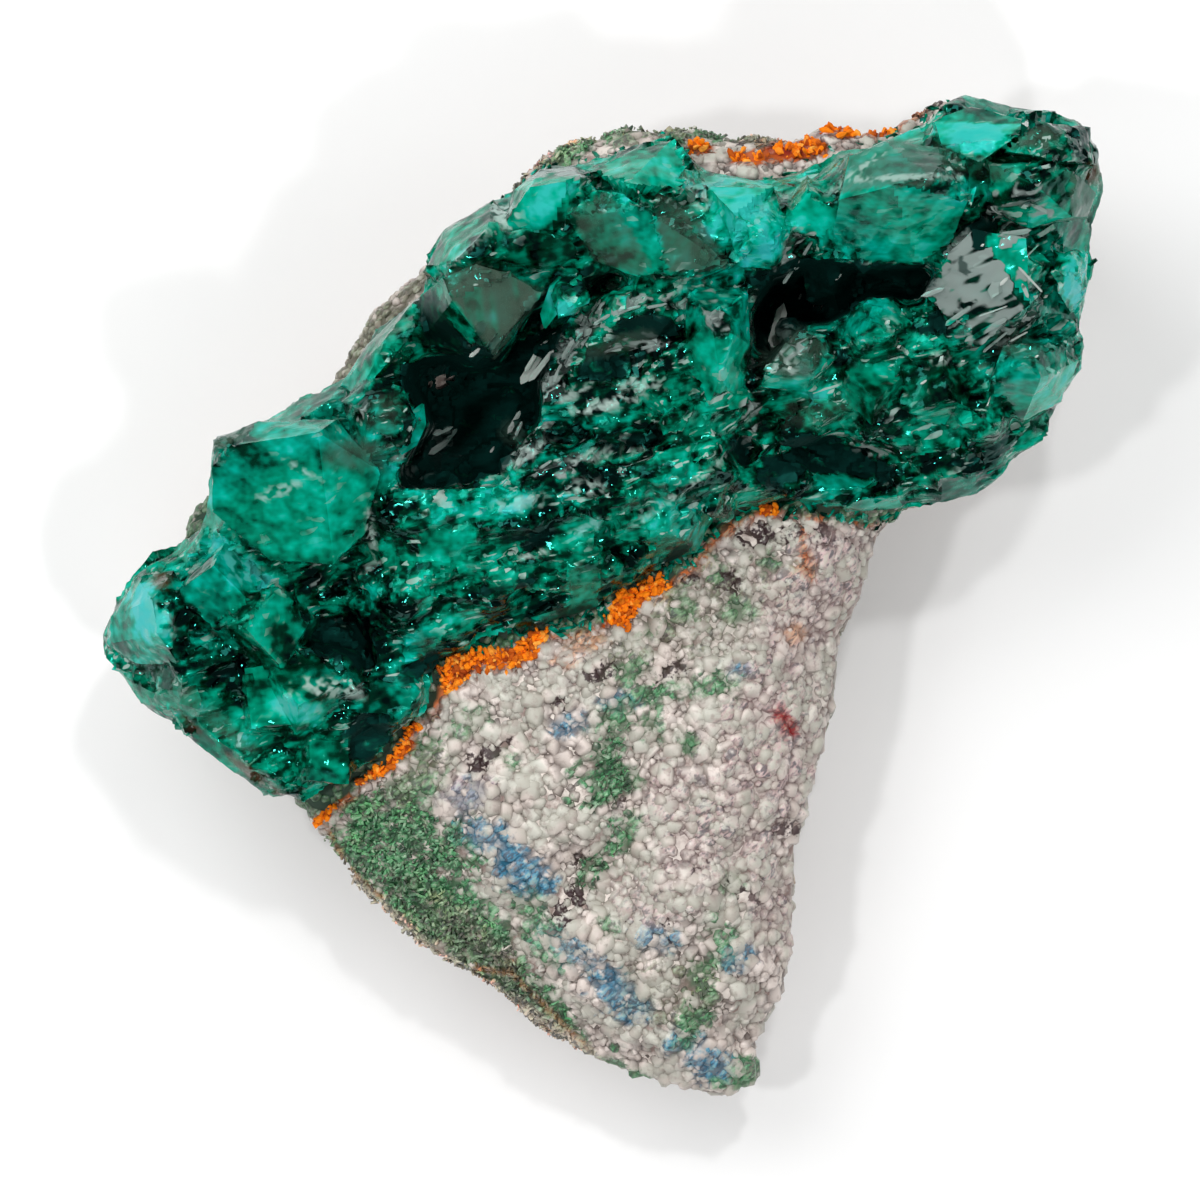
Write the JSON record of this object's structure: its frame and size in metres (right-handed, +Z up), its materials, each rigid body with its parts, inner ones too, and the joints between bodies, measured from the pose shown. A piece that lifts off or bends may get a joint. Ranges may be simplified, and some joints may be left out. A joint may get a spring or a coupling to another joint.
{
  "type": "dioptase specimen",
  "caption": "Natural dioptase on matrix: a crust of deep green glassy crystals grown together over a wedge of pale sugary rock with an orange iron seam",
  "frame": {"origin": "middle of the specimen's box on the plane it rests on", "axes": "+Z is up, with the specimen on its back and the crystals on top; +Y points away from the tip of the rock wedge; +X is to the right seen from above"},
  "size_m": [0.0504, 0.0504, 0.0236],
  "materials": {
    "matrix": "matte",
    "dioptase": "gloss"
  },
  "bodies": {
    "root": {"matrix": "matrix", "dioptase_crystals": "dioptase"}
  },
  "joints": []
}
